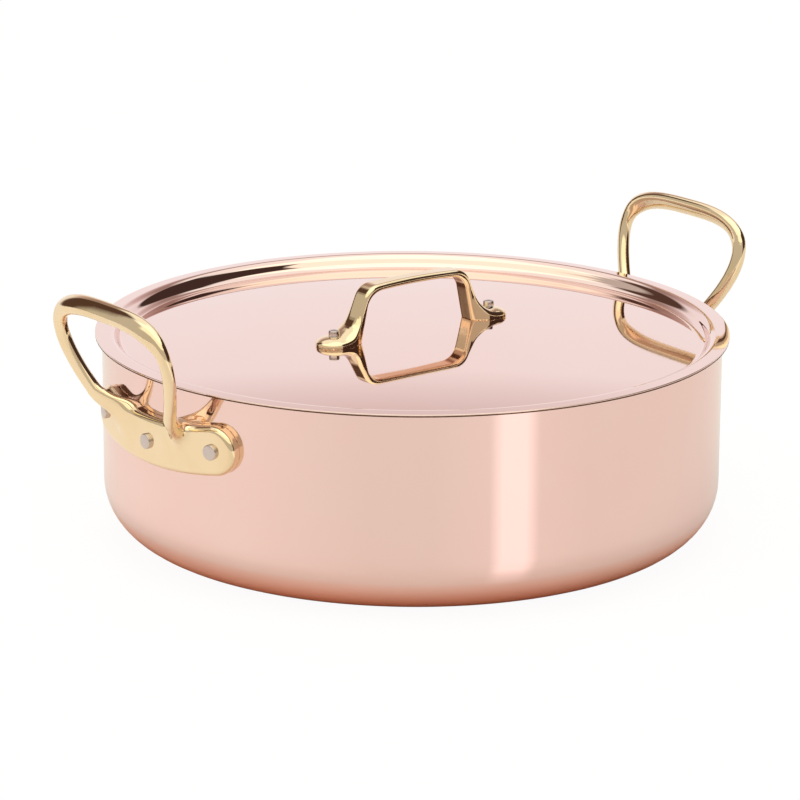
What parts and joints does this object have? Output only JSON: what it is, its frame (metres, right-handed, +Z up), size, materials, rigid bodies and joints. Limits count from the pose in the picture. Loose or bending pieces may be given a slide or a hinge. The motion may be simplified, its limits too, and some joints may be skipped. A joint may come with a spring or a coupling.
{
  "type": "saute pan",
  "caption": "Round straight-walled copper saute pan with a steel lining, riveted cast brass loop handles and a lift-off copper lid with a brass strap handle.",
  "frame": {"origin": "on the pan's axis, in the plane its base stands on", "axes": "+Z up along the pan's axis, X along the line through the two side handles"},
  "size_m": [0.3444, 0.2904, 0.1316],
  "materials": {
    "copper": "mirror-polished copper",
    "lining_steel": "brushed stainless steel",
    "brass": "polished cast brass",
    "rivet_steel": "plain stainless steel"
  },
  "bodies": {
    "pan": {"pan_copper_body": "copper", "pan_steel_lining": "lining_steel", "side_handle_right": "brass", "side_handle_left": "brass", "side_rivet_right_a": "rivet_steel", "side_rivet_right_b": "rivet_steel", "side_rivet_right_c": "rivet_steel", "side_rivet_left_a": "rivet_steel", "side_rivet_left_b": "rivet_steel", "side_rivet_left_c": "rivet_steel"},
    "lid": {"lid_copper_shell": "copper", "lid_steel_lining": "lining_steel", "lid_handle": "brass", "lid_rivet_right": "rivet_steel", "lid_rivet_left": "rivet_steel"}
  },
  "joints": [
    {"name": "lid_lift", "type": "slide", "parent": "pan", "child": "lid", "axis": [0, 0, 1], "range_m": [0, 0.12]}
  ]
}
